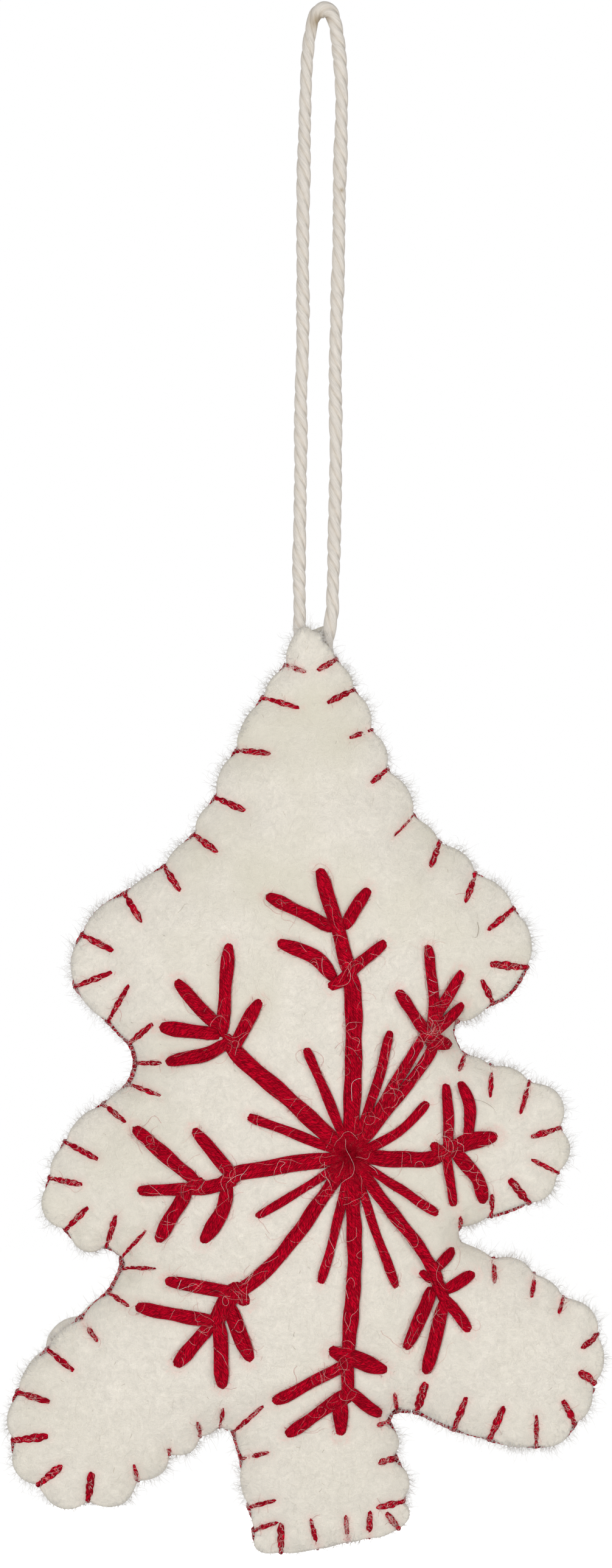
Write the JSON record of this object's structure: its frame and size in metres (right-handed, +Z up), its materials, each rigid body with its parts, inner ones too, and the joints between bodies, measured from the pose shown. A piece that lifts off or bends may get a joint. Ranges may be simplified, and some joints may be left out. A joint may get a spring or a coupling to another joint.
{
  "type": "felt christmas tree ornament",
  "caption": "Stuffed felt tree with three tiers of rounded branches, blanket-stitched edge, embroidered snowflake and a twisted cord hanging loop.",
  "frame": {"origin": "inside of the cord loop's top, where a hook or twig holds it", "axes": "+Z up, +X to the viewer's right, front with the snowflake towards -Y"},
  "size_m": [0.0995, 0.0196, 0.2562],
  "materials": {
    "felt": "matt cream wool felt with loose fibres",
    "thread": "soft red stranded embroidery thread",
    "cord": "off-white cotton cord of three twisted strands",
    "filling": "loose white fibre filling, hidden inside"
  },
  "bodies": {
    "loop": {"hanging_loop": "cord"},
    "tree": {"front_felt": "felt", "back_felt": "felt", "filling": "filling", "loop_tail_left": "cord", "loop_tail_right": "cord", "edge_stitching_left_top": "thread", "edge_stitching_left_upper_branch": "thread", "edge_stitching_left_middle_branch": "thread", "edge_stitching_left_lower_branch": "thread", "edge_stitching_left_lower_foot": "thread", "edge_stitching_trunk_left": "thread", "edge_stitching_trunk_foot": "thread", "edge_stitching_trunk_right": "thread", "edge_stitching_right_lower_foot": "thread", "edge_stitching_right_lower_branch": "thread", "edge_stitching_right_middle_branch": "thread", "edge_stitching_right_upper_branch": "thread", "edge_stitching_right_top": "thread", "snowflake_centre": "thread", "snowflake_arm_1": "thread", "snowflake_arm_2": "thread", "snowflake_arm_3": "thread", "snowflake_arm_4": "thread", "snowflake_arm_5": "thread", "snowflake_arm_6": "thread", "snowflake_arm_7": "thread", "snowflake_arm_8": "thread", "snowflake_ray_1": "thread", "snowflake_ray_2": "thread", "snowflake_ray_3": "thread", "snowflake_ray_4": "thread", "snowflake_ray_5": "thread", "snowflake_ray_6": "thread", "snowflake_ray_7": "thread", "snowflake_ray_8": "thread"}
  },
  "joints": [
    {"name": "loop_fold", "type": "hinge", "parent": "loop", "child": "tree", "pos_m": [-0.00125, 0, -0.0959], "axis": [1, 0, 0], "range_deg": [-140, 140], "deforming": ["hanging_loop"]}
  ]
}
